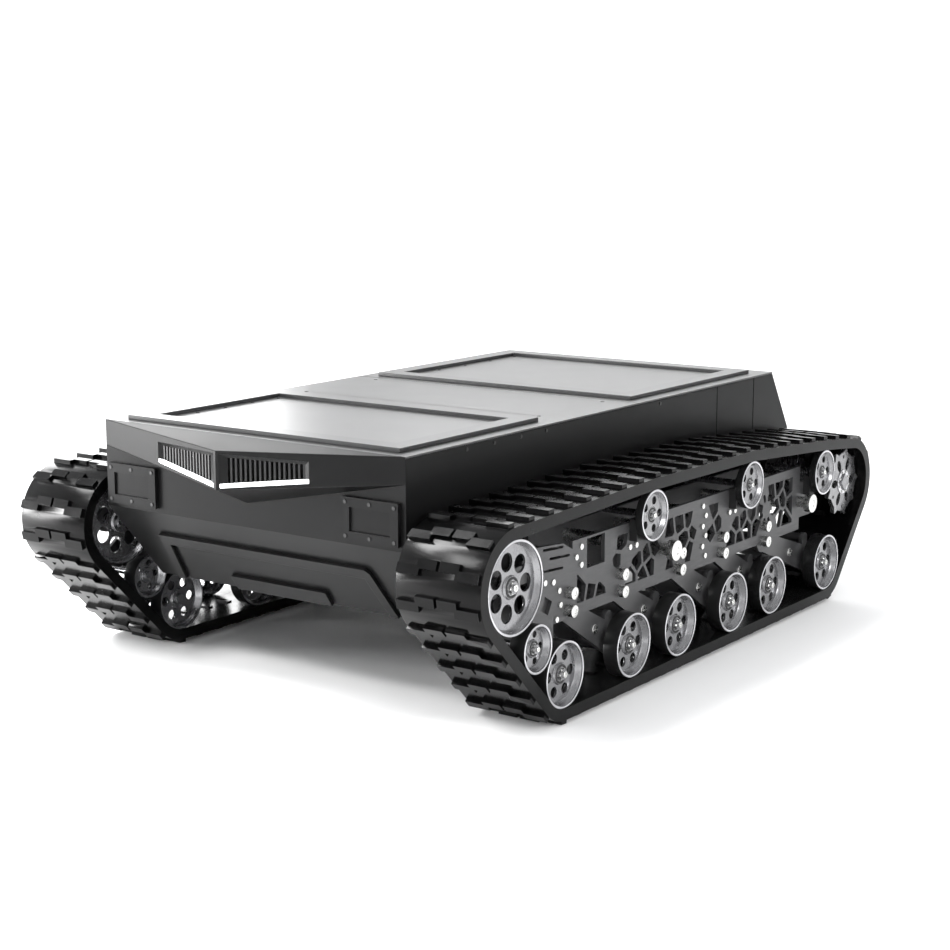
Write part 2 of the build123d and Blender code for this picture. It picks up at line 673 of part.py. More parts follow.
def plate_blank(low_face):
    with BuildPart() as blank:
        with BuildSketch(Plane.YZ.offset(low_face)):
            with Locations(((PLATE_FRONT + PLATE_REAR) / 2, (PLATE_TOP + PLATE_LOW) / 2)):
                Rectangle(PLATE_REAR - PLATE_FRONT, PLATE_TOP - PLATE_LOW)
            with Locations(((PLATE_REAR + EAR[0]) / 2, (EAR[1] + EAR[2]) / 2)):
                Rectangle(EAR[0] - PLATE_REAR, EAR[2] - EAR[1])
            with Locations(PIVOTS[-1]):
                Circle(PIVOT_BOSS_R)
            Polygon(
                (PLATE_FRONT, PLATE_TOP - 15.0),
                (PLATE_FRONT - 32.0, PLATE_TOP + 2.0),
                (PLATE_TIP, PLATE_TOP + 10.0),
                (PLATE_TIP, PLATE_LOW + 36.0),
                (NOSE_ROLLER[0] - 8.0, NOSE_ROLLER[1] + 22.0),
                (NOSE_ROLLER[0] + 11.0, NOSE_ROLLER[1] - 22.0),
                (PLATE_FRONT - 64.0, PLATE_LOW),
                (PLATE_FRONT, PLATE_LOW),
                align=None,
            )
            with Locations(NOSE_ROLLER):
                Circle(NOSE_BOSS_R)
            with Locations(*PIVOTS, *STOP_BOLTS, *ANCHORS):
                Circle(PIN_R + BOLT_AIR, mode=Mode.SUBTRACT)
            with Locations(NOSE_ROLLER):
                Circle(SHAFT_R + RUNNING, mode=Mode.SUBTRACT)
        extrude(amount=PLATE_T)
    return blank.part


with BuildPart() as outer_plate:
    add(plate_blank(TRACK_MID + PLATE_OUT - PLATE_T))
    with BuildSketch(Plane.YZ.offset(TRACK_MID + PLATE_OUT)):
        for corners in lattice_cells(KEEP_OUT):
            Polygon(*corners, align=None)
        with Locations(NOSE_WINDOW[:2]):
            RegularPolygon(NOSE_WINDOW[2], 4, rotation=NOSE_WINDOW_TURN)
        with Locations(BAY[:2]):
            Rectangle(*BAY[2:])
        with Locations(*[Location((y, z), SLOT_TILT) for y, z in SLOTS]):
            SlotOverall(*SLOT)
        with Locations(PETALS[:2]):
            with PolarLocations(PETALS[2], PETAL_COUNT, start_angle=180.0 / PETAL_COUNT):
                SlotOverall(*PETAL)
    extrude(amount=-PLATE_T, mode=Mode.SUBTRACT)
write_pair(outer_plate, "outer_plate")

with BuildPart() as inner_plates:
    add(plate_blank(TRACK_MID - PLATE_OUT))
    mirror(about=Plane.YZ)
write(inner_plates, "inner_plates")

# ---- fixed brackets of the first road wheel, and cross tubes between the plates ----
with BuildPart() as nose_brackets:
    for face in (ARM_OUT - ARM_T, -ARM_OUT):
        with BuildSketch(Plane.YZ.offset(TRACK_MID + face)):
            with Locations((WHEEL_Y[0], WHEEL_Z)):
                Circle(BRACKET_EYE_R)
            for y, z, radius in BRACKET_FEET:
                with Locations((y, z)):
                    Circle(radius)
            make_hull()
            with Locations((WHEEL_Y[0], WHEEL_Z)):
                Circle(AXLE_R + RUNNING, mode=Mode.SUBTRACT)
        extrude(amount=ARM_T)
    mirror(about=Plane.YZ)
write(nose_brackets, "nose_brackets")

with BuildPart() as cross_tubes:
    with BuildSketch(Plane.YZ.offset(TRACK_MID - PLATE_OUT + PLATE_T)):
        with Locations(*TUBES):
            Circle(TUBE_R)
    extrude(amount=PLATE_GAP)
    with BuildSketch(Plane.YZ.offset(TRACK_MID - PLATE_OUT + PLATE_T)):
        with Locations(*STOP_BOLTS):
            Circle(SLEEVE_R)
            Circle(PIN_R + BOLT_AIR, mode=Mode.SUBTRACT)
    extrude(amount=PLATE_GAP)
    mirror(about=Plane.YZ)
write(cross_tubes, "cross_tubes")

# ---- tensioner anchor blocks: each holds the fork's screw ----
with BuildPart() as tensioner_blocks:
    with BuildSketch(Plane.YZ.offset(TRACK_MID - PLATE_OUT + PLATE_T)):
        with Locations((TENSION_BLOCK[0], IDLER[1])):
            Rectangle(*TENSION_BLOCK[1:])
    extrude(amount=PLATE_GAP)
    with BuildSketch(Plane.XZ.offset(TENSION_BLOCK[1] - TENSION_BLOCK[0])):
        with Locations((TRACK_MID, IDLER[1])):
            Circle(TENSION_R + RUNNING)
    extrude(amount=-2 * TENSION_BLOCK[1], mode=Mode.SUBTRACT)
    mirror(about=Plane.YZ)
write(tensioner_blocks, "tensioner_blocks")

# ---- blocks that carry the upper rollers, on the outer faces of both plates ----
with BuildPart() as roller_blocks:
    for y, z in CARRIERS:
        for face in (PLATE_OUT, -PLATE_OUT - BLOCK[2]):
            with BuildSketch(Plane.YZ.offset(TRACK_MID + face)):
                with Locations((y, z - BLOCK_DROP)):
                    Rectangle(*BLOCK[:2])
                with Locations((y, z)):
                    Circle(BLOCK_BOSS_R)
                    Circle(SHAFT_R + RUNNING, mode=Mode.SUBTRACT)
            extrude(amount=BLOCK[2])
    mirror(about=Plane.YZ)
write(roller_blocks, "roller_blocks")

# ---- pivot pins, stop bolts and the two large anchors of each side ----
with BuildPart() as frame_bolts:
    with BuildSketch(Plane.YZ.offset(TRACK_MID - PLATE_OUT)):
        with Locations(*PIVOTS, *STOP_BOLTS, *ANCHORS):
            Circle(PIN_R)
    extrude(amount=2 * PLATE_OUT)
    with BuildSketch(Plane.YZ.offset(TRACK_MID + PLATE_OUT)):
        with Locations(*PIVOTS, *STOP_BOLTS):
            Circle(HEAD_R)
    extrude(amount=HEAD_H)
    with BuildSketch(Plane.YZ.offset(TRACK_MID + PLATE_OUT)):
        with Locations(*ANCHORS):
            Circle(ANCHOR_NECK[0])
    extrude(amount=ANCHOR_NECK[1])
    with BuildSketch(Plane.YZ.offset(TRACK_MID + PLATE_OUT + ANCHOR_HEAD_GAP)):
        with Locations(*ANCHORS):
            Circle(ANCHOR_HEAD[0])
    extrude(amount=ANCHOR_HEAD[1])
    with BuildSketch(Plane.YZ.offset(TRACK_MID - PLATE_OUT)):
        with Locations(*PIVOTS, *STOP_BOLTS, *ANCHORS):
            RegularPolygon(NUT[0], 6)
    extrude(amount=-NUT[1])
    mirror(about=Plane.YZ)
write(frame_bolts, "frame_bolts")

# ---- mounts between hull and track frames ----
with BuildPart() as frame_mounts:
    with BuildSketch(Plane.YZ.offset(HULL_HALF)):
        with Locations(*[(y, MOUNT_Z) for y in MOUNT_Y]):
            Rectangle(*MOUNT)
    extrude(amount=TRACK_MID - PLATE_OUT - HULL_HALF)
    mirror(about=Plane.YZ)
write(frame_mounts, "frame_mounts")

# ---- rubber tracks ----
PATH_WHEELS = (
    (IDLER, IDLER_R), (NOSE_ROLLER, NOSE_ROLLER_R), ((WHEEL_Y[0], WHEEL_Z), WHEEL_R),
    ((WHEEL_Y[-1], WHEEL_Z), WHEEL_R), (SPROCKET, SPROCKET_R),
    (CARRIERS[0], CARRIER_R), (CARRIERS[1], CARRIER_R), (CARRIERS[2], CARRIER_R),
)


def loop_face(grow):
    """The closed loop of a belt surface that lies grow outside the wheels."""
    with BuildSketch(Plane.YZ.offset(TRACK_MID - TRACK_HALF)) as loop:
        for at, radius in PATH_WHEELS:
            with Locations(at):
                Circle(radius + grow)
        make_hull()
    return loop.sketch


def stations(face, sink):
    """Planes at even steps around a loop, facing away from it, sunk by sink."""
    wire = face.faces()[0].outer_wire()
    middle = face.center()
    planes = []
    for step in range(LUG_COUNT):
        spot = wire @ (step / LUG_COUNT)
        away = (wire % (step / LUG_COUNT)).cross(Vector(1, 0, 0))
        if away.dot(spot - middle) < 0:
            away = away * -1
        spot = Vector(TRACK_MID, spot.Y, spot.Z) - away * sink
        planes.append(Plane(origin=spot, x_dir=(1, 0, 0), z_dir=away))
    return planes


inner_loop = loop_face(GAP)
outer_loop = loop_face(GAP + CARCASS)
with BuildPart() as track_belt:
    extrude(outer_loop, amount=2 * TRACK_HALF)
    extrude(inner_loop, amount=2 * TRACK_HALF, mode=Mode.SUBTRACT)
    with BuildSketch(*stations(outer_loop, LUG_SINK)):
        for hand in (1, -1):
            with Locations((hand * LUG_OUTER_X, -LUG_STEP / 2)):
                Rectangle(LUG_OUTER_W, LUG_LEN)
            with Locations((hand * LUG_INNER_X, LUG_STEP / 2)):
                Rectangle(LUG_INNER_W, LUG_LEN)
    extrude(amount=LUG_SINK + LUG_H)
    with BuildSketch(*stations(inner_loop, GUIDE_H)):
        Rectangle(*GUIDE)
    extrude(amount=GUIDE_H + LUG_SINK)
write_pair(track_belt, "track_belt")

# ---- drive gearmotors, battery and controller inside the hull ----
with BuildPart() as drive_gearmotors:
    with BuildSketch(Plane.YZ.offset(GEARBOX_FACE - GEARBOX_LEN)):
        with Locations(SPROCKET):
            Circle(GEARBOX_R)
    extrude(amount=GEARBOX_LEN)
    with BuildSketch(Plane.YZ.offset(GEARBOX_FACE - GEARBOX_LEN)):
        with Locations(SPROCKET):
            Circle(MOTOR_R)
    extrude(amount=-MOTOR_LEN)
    with BuildSketch(Plane.YZ.offset(GEARBOX_FACE)):
        with Locations(SPROCKET):
            Circle(AXLE_R + RUNNING)
    extrude(amount=-BORE_DEPTH, mode=Mode.SUBTRACT)
    mirror(about=Plane.YZ)
write(drive_gearmotors, "drive_gearmotors")

with BuildPart() as battery_pack:
    with BuildSketch(Plane.XY.offset(BELLY_Z + SHEET)):
        with Locations((0, BATTERY_Y)):
            RectangleRounded(BATTERY[0], BATTERY[1], BATTERY_ROUND)
    extrude(amount=BATTERY[2])
    with BuildSketch(Plane.XY.offset(BELLY_Z + SHEET + BATTERY[2])):
        with Locations((-TERMINAL_X, BATTERY_Y), (TERMINAL_X, BATTERY_Y)):
            Rectangle(TERMINAL[0], TERMINAL[1])
    extrude(amount=TERMINAL[2])
write(battery_pack, "battery_pack")

with BuildPart() as controller_box:
    with BuildSketch(Plane.XY.offset(BELLY_Z + SHEET)):
        with Locations((0, CONTROLLER_Y)):
            RectangleRounded(CONTROLLER[0], CONTROLLER[1], CONTROLLER_ROUND)
    extrude(amount=CONTROLLER[2])
    with BuildSketch(Plane.XY.offset(BELLY_Z + SHEET + CONTROLLER[2])):
        with Locations((0, CONTROLLER_Y)):
            with GridLocations(FIN_PITCH, 0.0, FINS, 1):
                Rectangle(FIN[0], FIN[1])
    extrude(amount=FIN[2])
write(controller_box, "controller_box")

# ---- small screws: side plates, side walls, access covers and hatch panels ----
with BuildPart() as small_screws:
    with BuildSketch(Plane.YZ.offset(TRACK_MID + PLATE_OUT)):
        with Locations(*PLATE_SCREWS):
            Circle(PLATE_SCREW[0])
    extrude(amount=PLATE_SCREW[1])
    with BuildSketch(Plane.YZ.offset(HULL_HALF)):
        with Locations(*WALL_SCREWS):
            Circle(HULL_SCREW[0])
    extrude(amount=HULL_SCREW[1])
    with BuildSketch(Plane.XZ.offset(-NOSE_Y + COVER[2])):
        with Locations(COVER_AT):
            with GridLocations(COVER[0] / 2 - COVER_SCREW_IN, COVER[1] - 2 * COVER_SCREW_IN, 3, 2):
                Circle(HULL_SCREW[0])
    extrude(amount=HULL_SCREW[1])
    for front, rear in HATCHES:
        first = front + HATCH_BAR + HATCH_SCREW_END
        last = rear - HATCH_BAR - HATCH_SCREW_END
        with BuildSketch(Plane.XY.offset(DECK_Z)):
            for k in range(HATCH_SCREWS):
                y = first + (last - first) * k / (HATCH_SCREWS - 1)
                with Locations((HATCH_X - HATCH_BAR - HATCH_SCREW_IN, y)):
                    Circle(HULL_SCREW[0])
        extrude(amount=HULL_SCREW[1])
    mirror(about=Plane.YZ)
write(small_screws, "small_screws")
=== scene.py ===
import json
from math import cos, pi, radians, sin, tau

import bmesh
import bpy
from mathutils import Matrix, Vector


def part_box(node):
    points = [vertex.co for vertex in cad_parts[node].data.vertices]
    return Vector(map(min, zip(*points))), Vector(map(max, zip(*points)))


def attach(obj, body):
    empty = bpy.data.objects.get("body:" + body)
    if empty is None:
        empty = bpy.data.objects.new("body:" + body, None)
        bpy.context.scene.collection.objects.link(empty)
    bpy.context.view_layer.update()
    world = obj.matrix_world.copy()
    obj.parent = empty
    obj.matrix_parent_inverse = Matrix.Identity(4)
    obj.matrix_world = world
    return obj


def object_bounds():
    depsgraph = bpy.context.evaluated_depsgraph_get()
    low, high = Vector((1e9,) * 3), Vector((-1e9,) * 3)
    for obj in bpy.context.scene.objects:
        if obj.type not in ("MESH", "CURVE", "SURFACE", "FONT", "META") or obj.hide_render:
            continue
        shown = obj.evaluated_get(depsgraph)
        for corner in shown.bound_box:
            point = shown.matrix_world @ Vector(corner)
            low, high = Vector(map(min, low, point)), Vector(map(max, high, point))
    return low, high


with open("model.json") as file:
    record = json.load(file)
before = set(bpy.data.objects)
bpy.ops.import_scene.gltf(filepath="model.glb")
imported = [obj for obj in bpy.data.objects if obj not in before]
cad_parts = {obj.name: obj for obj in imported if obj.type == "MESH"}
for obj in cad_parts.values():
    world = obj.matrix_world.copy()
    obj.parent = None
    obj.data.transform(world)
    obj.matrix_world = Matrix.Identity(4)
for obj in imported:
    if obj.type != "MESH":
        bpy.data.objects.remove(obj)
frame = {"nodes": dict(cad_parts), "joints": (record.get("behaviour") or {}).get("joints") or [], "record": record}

CAD_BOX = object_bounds()

# Tracked robot chassis, metres, in the frame of the CAD model: the nose points to -Y, +Z is
# up and +X is the robot's own left side.

# ---- view ----
AIM = Vector((0.0, 0.0, 0.322))
DISTANCE = 4.10
AZIMUTH = radians(35.41)
ELEVATION = radians(10.54)
LENS = 71.55

# ---- mesh settings ----
SMOOTH_ANGLE = radians(32)   # edges flatter than this are shaded smooth
BEVEL_ANGLE = radians(35)    # edges sharper than this are rounded on carried-over parts
WELD_GAP = 0.00001

# ---- shared sizes ----
SIDES = (("left", 1), ("right", -1))
TRACK_MID = 0.476
PLATE_FACE = 0.053           # outer face of the side plate from the track's middle
STOP_RISE = 0.034
ANCHORS = ((-0.108, 0.248), (0.504, 0.242))
JOINTS = {joint["name"]: joint for joint in frame["joints"]}


# ================= materials =================
def new_material(name):
    material = bpy.data.materials.new(name)
    material.use_nodes = True
    shader = material.node_tree.nodes["Principled BSDF"]
    return material, material.node_tree, shader


def noise(tree, scale, detail=4.0, roughness=0.6, stretch=(1, 1, 1)):
    """Noise in object space, so that it stays at one real size on every part."""
    place = tree.nodes.new("ShaderNodeTexCoord")
    warp = tree.nodes.new("ShaderNodeMapping")
    warp.inputs["Scale"].default_value = stretch
    texture = tree.nodes.new("ShaderNodeTexNoise")
    texture.inputs["Scale"].default_value = scale
    texture.inputs["Detail"].default_value = detail
    texture.inputs["Roughness"].default_value = roughness
    tree.links.new(place.outputs["Object"], warp.inputs["Vector"])
    tree.links.new(warp.outputs["Vector"], texture.inputs["Vector"])
    return texture.outputs["Fac"]


def ramp(tree, source, low, high, start=0.3, end=0.7):
    """Colour or grey running from low to high as the source runs from start to end."""
    node = tree.nodes.new("ShaderNodeValToRGB")
    node.color_ramp.elements[0].position = start
    node.color_ramp.elements[1].position = end
    for element, value in zip(node.color_ramp.elements, (low, high)):
        element.color = (*value, 1) if isinstance(value, tuple) else (value, value, value, 1)
    tree.links.new(source, node.inputs["Fac"])
    return node.outputs["Color"]


def bump(tree, shader, source, strength, distance):
    node = tree.nodes.new("ShaderNodeBump")
    node.inputs["Strength"].default_value = strength
    node.inputs["Distance"].default_value = distance
    tree.links.new(source, node.inputs["Height"])
    tree.links.new(node.outputs["Normal"], shader.inputs["Normal"])


def worn(tree, base, bare, amount):
    """The base colour, rubbed towards bare along convex edges."""
    shape = tree.nodes.new("ShaderNodeNewGeometry")
    edges = ramp(tree, shape.outputs["Pointiness"], 0.0, amount, 0.53, 0.60)
    mix = tree.nodes.new("ShaderNodeMix")
    mix.data_type = "RGBA"
    tree.links.new(edges, mix.inputs["Factor"])
    tree.links.new(base, mix.inputs["A"])
    mix.inputs["B"].default_value = (*bare, 1)
    return mix.outputs["Result"]


def painted(name, dark, light, rough, gloss=0.5, uneven=0.04, grain=900.0, wear=0.12):
    """Powder coat: a fine orange peel, slightly uneven gloss, and edges rubbed a little lighter."""
    material, tree, shader = new_material(name)
    colour = ramp(tree, noise(tree, 3.0), dark, light)
    bare = tuple(c * 3 + 0.03 for c in light)
    tree.links.new(worn(tree, colour, bare, wear), shader.inputs["Base Color"])
    smear = noise(tree, 2.5, 3.0)
    tree.links.new(ramp(tree, smear, rough - uneven, rough + uneven), shader.inputs["Roughness"])
    bump(tree, shader, noise(tree, grain, 2.0), 0.2, 0.00003)
    shader.inputs["Specular IOR Level"].default_value = gloss
    return material


def metal(name, dark, light, rough, stretch=(1, 1, 1), grain=260.0, depth=0.00004, metallic=1.0,
          wear=0.12):
    """Bare or anodised metal with machining grain along the direction least stretched."""
    material, tree, shader = new_material(name)
    colour = ramp(tree, noise(tree, 6.0, 3.0), dark, light)
    bare = tuple(min(1.0, c * 1.6) for c in light)
    tree.links.new(worn(tree, colour, bare, wear), shader.inputs["Base Color"])
    shader.inputs["Metallic"].default_value = metallic
    brushed = noise(tree, grain, 3.0, 0.5, stretch)
    tree.links.new(ramp(tree, brushed, rough - 0.06, rough + 0.06), shader.inputs["Roughness"])
    bump(tree, shader, brushed, 0.20, depth)
    return material


def rubber(name, dark, light, rough, gloss=0.4):
    """Moulded rubber: fine pitting, a dusty bloom in patches and a faint scuffed edge."""
    material, tree, shader = new_material(name)
    colour = ramp(tree, noise(tree, 5.0, 5.0), dark, light)
    tree.links.new(worn(tree, colour, (0.05, 0.05, 0.052), 0.10), shader.inputs["Base Color"])
    tree.links.new(ramp(tree, noise(tree, 12.0, 4.0), rough - 0.05, rough + 0.08),
                   shader.inputs["Roughness"])
    bump(tree, shader, noise(tree, 500.0, 4.0, 0.6), 0.3, 0.00012)
    shader.inputs["Specular IOR Level"].default_value = gloss
    return material


def lamp():
    """Diffuser lit from behind: nearly even, a touch dimmer in places."""
    material, tree, shader = new_material("light_diffuser")
    glow = ramp(tree, noise(tree, 60.0, 2.0), (0.93, 0.95, 0.98), (1.0, 1.0, 1.0))
    tree.links.new(glow, shader.inputs["Base Color"])
    tree.links.new(glow, shader.inputs["Emission Color"])
    shader.inputs["Emission Strength"].default_value = 1.3
    tree.links.new(ramp(tree, noise(tree, 300.0), 0.25, 0.4), shader.inputs["Roughness"])
    return material


def grey(value, blue=1.03):
    return (value, value, value * blue)


MATERIALS = {
    "hull_paint": painted("hull_paint", grey(0.0042), grey(0.0060), 0.33, gloss=0.11, wear=0.04),
    "deck_paint": painted("deck_paint", grey(0.019), grey(0.025), 0.31, gloss=0.53, uneven=0.02),
    "panel_dark": painted("panel_dark", grey(0.028), grey(0.034), 0.30, gloss=0.50, uneven=0.015,
                          grain=1500.0),
    "grille_black": painted("grille_black", grey(0.010), grey(0.016), 0.45, gloss=0.3),
    "anodised": metal("anodised", grey(0.048), grey(0.058), 0.44, (1, 0.15, 1), metallic=0.3),
    "arm_metal": painted("arm_metal", grey(0.026), grey(0.036), 0.34, gloss=0.5),
    "wheel_alloy": metal("wheel_alloy", grey(0.225), grey(0.245), 0.25, (6, 1, 1), 60.0, 0.00001,
                         metallic=0.9, wear=0.0),
    "zinc": metal("zinc", grey(0.62, 0.98), grey(0.70, 0.98), 0.26, depth=0.00001, wear=0.0),
    "belt_rubber": rubber("belt_rubber", grey(0.0010), grey(0.0020), 0.20, gloss=0.12),
    "black_steel": painted("black_steel", grey(0.008), grey(0.014), 0.40, gloss=0.4),
    "battery_case": painted("battery_case", (0.03, 0.034, 0.042), (0.05, 0.054, 0.062), 0.5),
    "light_white": lamp(),
}
BRIGHT = metal("turned_lip", grey(0.50), grey(0.58), 0.20, (8, 1, 1), 90.0)
TREAD = painted("wheel_tread", grey(0.006), grey(0.010), 0.28, gloss=0.4)
SEAL = rubber("bearing_seal", grey(0.008), grey(0.014), 0.5)

SLOTS = {row["node"]: row["material_slot"] for row in frame["record"]["subparts"]}
for name, node in frame["nodes"].items():
    if node.data.materials:
        for index in range(len(node.data.materials)):
            node.data.materials[index] = MATERIALS[SLOTS[name]]
    else:
        node.data.materials.append(MATERIALS[SLOTS[name]])


def second_finish(name, material, chosen):
    """Gives the chosen faces of a carried-over part another finish."""
    mesh = frame["nodes"][name].data
    mesh.materials.append(material)
    for face in mesh.polygons:
        if chosen(face.center):
            face.material_index = len(mesh.materials) - 1


HULL_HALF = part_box("hull_tub")[1].x
second_finish("small_screws", MATERIALS["black_steel"], lambda at: abs(at.x) < HULL_HALF + 0.01)

TREAD_SHARE = 0.985          # running faces lie beyond this share of the wheel's radius


def on_tread(name):
    """Whether a place lies on the running face of the wheel."""
    low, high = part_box(name)
    y, z = (low.y + high.y) / 2, (low.z + high.z) / 2
    tread = (high.z - low.z) / 2 * TREAD_SHARE
    return lambda at: (at.y - y) ** 2 + (at.z - z) ** 2 > tread ** 2


for name in SLOTS:
    if "wheel" in name or "carrier" in name or name.endswith("_roller"):
        second_finish(name, TREAD, on_tread(name))


# ================= mesh tools =================
def ring_points(radius, count, turn=0.0):
    return [(radius * cos(tau * k / count + turn), radius * sin(tau * k / count + turn))
            for k in range(count)]


def lathe(form, profile, count):
    """Turns (x, radius) points about the X axis. A radius of zero closes the end."""
    rings = []
    for x, radius in profile:
        if radius == 0:
            rings.append([form.verts.new((x, 0, 0))])
        else:
            rings.append([form.verts.new((x, y, z)) for y, z in ring_points(radius, count)])
    for low, high in zip(rings, rings[1:]):
        for k in range(count):
            after = (k + 1) % count
            if len(low) == 1:
                form.faces.new((low[0], high[k], high[after]))
            elif len(high) == 1:
                form.faces.new((low[k], high[0], low[after]))
            else:
                form.faces.new((low[k], high[k], high[after], low[after]))


def finish_form(form, name, body, material, at, hand=1, smooth=True):
    """Puts a form, made about the origin for the left side, in its place on a body."""
    bmesh.ops.recalc_face_normals(form, faces=form.faces)
    for vert in form.verts:
        vert.co = Vector((hand * (vert.co.x + at[0]), vert.co.y + at[1], vert.co.z + at[2]))
    if hand < 0:
        bmesh.ops.reverse_faces(form, faces=form.faces)
    for edge in form.edges:
        edge.smooth = edge.is_manifold and edge.calc_face_angle(pi) < SMOOTH_ANGLE
    for face in form.faces:
        face.smooth = smooth
    mesh = bpy.data.meshes.new(name)
    form.to_mesh(mesh)
    form.free()
    mesh.materials.append(material)
    piece = bpy.data.objects.new(name, mesh)
    bpy.context.collection.objects.link(piece)
    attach(piece, body)
    return piece


# ================= wheels: lip, bearing seal, axle nut and bolt end =================
AXLE_END = 0.0893            # end of an axle bolt from the track's middle, inside the belt's edge
LIP_SIDES = 96
LIP_WIDTH = 0.0044
LIP_PROUD = 0.0012           # height of the turned lip over the rim
LIP_SINK = 0.0020            # how far the lip runs back into the rim
SEAL_SIDES = 64
NUT_SHARE = 0.62             # axle nut's radius as a share of the hub's
BOLT_SIDES = 24


def wheel_trim(label, body, hand, at, radius, rim, hub, hub_face):
    form = bmesh.new()
    lathe(form, [(rim - LIP_SINK, radius - LIP_WIDTH),
                 (rim + LIP_PROUD / 2, radius - LIP_WIDTH + 0.0004),
                 (rim + LIP_PROUD, radius - 0.0024), (rim + LIP_PROUD / 2, radius - 0.0002),
                 (rim - LIP_SINK, radius - 0.0001)], LIP_SIDES)
    finish_form(form, f"{label}_lip", body, BRIGHT, at, hand)
    form = bmesh.new()
    lathe(form, [(hub_face - 0.001, hub * 0.97), (hub_face + 0.0008, hub * 0.95),
                 (hub_face + 0.0012, hub * 0.80), (hub_face + 0.0004, hub * 0.72)], SEAL_SIDES)
    finish_form(form, f"{label}_seal", body, SEAL, at, hand)
    form = bmesh.new()
    nut = hub * NUT_SHARE
    lathe(form, [(hub_face - 0.0005, nut), (hub_face + 0.0045, nut),
                 (hub_face + 0.0058, nut * 0.90), (hub_face + 0.0060, nut * 0.60)], 6)
    lathe(form, [(hub_face + 0.0050, nut * 0.52), (AXLE_END - 0.0006, nut * 0.52),
                 (AXLE_END, nut * 0.46), (AXLE_END, nut * 0.24),
                 (AXLE_END - 0.0016, nut * 0.20), (AXLE_END - 0.0016, 0)], BOLT_SIDES)
    finish_form(form, f"{label}_nut", body, MATERIALS["zinc"], at, hand)


# body, spin joint, numbers, wheel radius, rim face, hub radius and hub face
WHEEL_KINDS = (
    ("wheel_{}", "wheel_{}_spin", range(1, 7), 0.0625, 0.088, 0.019, 0.079),
    ("carrier_{}", "carrier_{}_spin", range(1, 4), 0.050, 0.088, 0.015, 0.081),
    ("idler", "idler_spin", (0,), 0.085, 0.088, 0.020, 0.080),
    ("nose", "nose_spin", (0,), 0.045, 0.088, 0.015, 0.079),
)
for side, hand in SIDES:
    for body, joint, numbers, radius, rim, hub, hub_face in WHEEL_KINDS:
        for number in numbers:
            spot = JOINTS[f"{side}_{joint.format(number)}"]["pos_m"]
            rider = f"{side}_{body.format(number)}"
            wheel_trim(f"{rider}_trim", rider, hand, (TRACK_MID, spot[1], spot[2]),
                       radius, rim, hub, hub_face)


# ================= frame bolts: shaped heads with a driver recess =================
HEAD_SIDES = 32


def bolt_head(form, y, z, x, radius, height):
    """A round head with a shallow driver recess, its foot at x."""
    start = len(form.verts)
    lathe(form, [(x, radius), (x + height * 0.75, radius), (x + height, radius * 0.86),
                 (x + height, radius * 0.42), (x + height * 0.45, radius * 0.40),
                 (x + height * 0.45, 0)], HEAD_SIDES)
    form.verts.ensure_lookup_table()
    for vert in form.verts[start:]:
        vert.co.y += y
        vert.co.z += z


CAP_H = 0.0022
CAP_SINK = 0.0002            # a cap's foot lies this far inside the bolt head
HEAD_R = 0.0117
HEAD_FACE = PLATE_FACE + 0.014
ANCHOR_R = 0.0202
ANCHOR_FACE = PLATE_FACE + 0.033
for side, hand in SIDES:
    form = bmesh.new()
    for number in range(2, 7):
        spot = JOINTS[f"{side}_arm_{number}_swing"]["pos_m"]
        for rise in (0.0, STOP_RISE):
            bolt_head(form, spot[1], spot[2] + rise, HEAD_FACE - CAP_SINK, HEAD_R, CAP_H)
    for y, z in ANCHORS:
        bolt_head(form, y, z, ANCHOR_FACE - CAP_SINK, ANCHOR_R, CAP_H)
    finish_form(form, f"{side}_bolt_caps", "root", MATERIALS["zinc"], (TRACK_MID, 0, 0), hand)


# ================= sprocket hub: a flange with a ring of bolts =================
FLANGE_FACE = 0.0700
FLANGE_R = 0.0282
FLANGE_T = 0.0022
FLANGE_SIDES = 64
FLANGE_RING = 0.0238         # radius of the ring of bolts
FLANGE_BOLTS = 8
FLANGE_BOLT_R = 0.0027
FLANGE_BOLT_H = 0.0032
FLANGE_BOLT_SINK = 0.0004
for side, hand in SIDES:
    spot = JOINTS[f"{side}_drive"]["pos_m"]
    at = (TRACK_MID, spot[1], spot[2])
    form = bmesh.new()
    lathe(form, [(FLANGE_FACE - FLANGE_T, FLANGE_R), (FLANGE_FACE - 0.0004, FLANGE_R),
                 (FLANGE_FACE, FLANGE_R - 0.0006), (FLANGE_FACE, 0)], FLANGE_SIDES)
    finish_form(form, f"{side}_sprocket_flange", f"{side}_sprocket", BRIGHT, at, hand)
    form = bmesh.new()
    for y, z in ring_points(FLANGE_RING, FLANGE_BOLTS, pi / FLANGE_BOLTS):
        bolt_head(form, y, z, FLANGE_FACE - FLANGE_BOLT_SINK, FLANGE_BOLT_R, FLANGE_BOLT_H)
    finish_form(form, f"{side}_sprocket_bolts", f"{side}_sprocket", MATERIALS["zinc"], at, hand)


# ================= slotted screws on the swing arms =================
ARM_FACE = 0.0445            # outer face of an arm's plate from the track's middle
ALONG_ARM = 0.60             # the screw's place between pivot and axle
SLOTTED_R = 0.008
SLOTTED_H = 0.0026
SLOT_HALF = 0.0013
HALF_STEPS = 20
WASHER_R = SLOTTED_R * 1.15
WASHER_SIDES = 40


def half_disc(form, x, radius, height, up):
    """Half of a slotted head: the round part on one side of the driver slot."""
    edge = [(radius * cos(pi * k / HALF_STEPS),
             up * (SLOT_HALF + (radius - SLOT_HALF) * sin(pi * k / HALF_STEPS)))
            for k in range(HALF_STEPS + 1)]
    low = [form.verts.new((x, y, z)) for y, z in edge]
    top = [form.verts.new((x + height, y * 0.9, z * 0.9 + up * SLOT_HALF * 0.1)) for y, z in edge]
    size = len(edge)
    for k in range(size):
        after = (k + 1) % size
        form.faces.new((low[k], low[after], top[after], top[k]))
    form.faces.new(low)
    form.faces.new(top)


